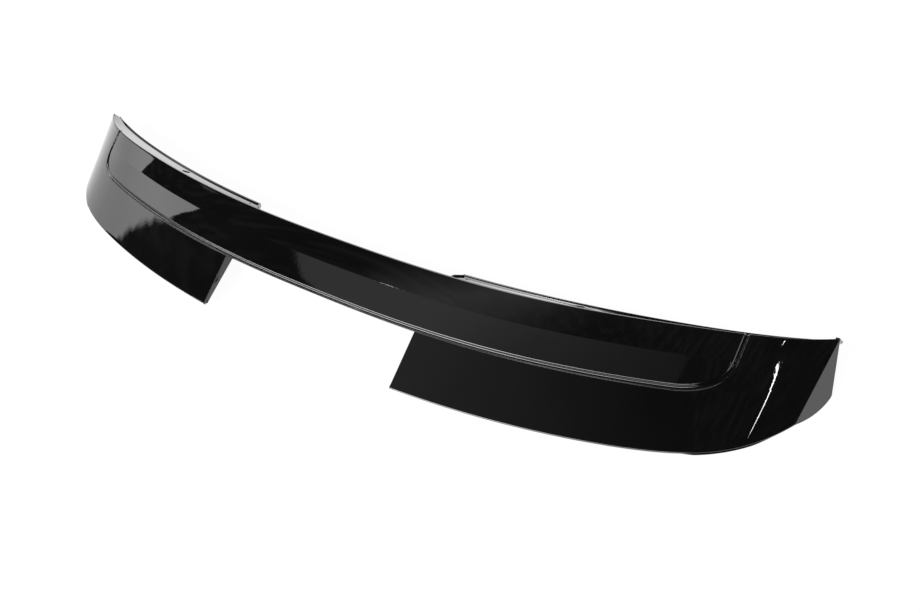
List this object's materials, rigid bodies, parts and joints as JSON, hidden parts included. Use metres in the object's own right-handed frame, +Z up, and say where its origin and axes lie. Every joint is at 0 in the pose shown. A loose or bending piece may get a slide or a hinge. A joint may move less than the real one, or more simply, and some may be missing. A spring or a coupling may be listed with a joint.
{
  "type": "car roof spoiler",
  "caption": "Swept, crowned rear spoiler moulded as a gloss black shell, with a notch in its trailing edge, a styling groove and a drilled front flange that fixes it to a tailgate.",
  "frame": {"origin": "the middle of the box round the part, at the level of its base", "axes": "X runs across the car, Y forward from the trailing edge to the front flange, Z up"},
  "size_m": [1.2154, 0.2254, 0.0572],
  "materials": {
    "gloss_black": "deep gloss black paint"
  },
  "bodies": {
    "root": {"spoiler_shell": "gloss_black"}
  },
  "joints": []
}
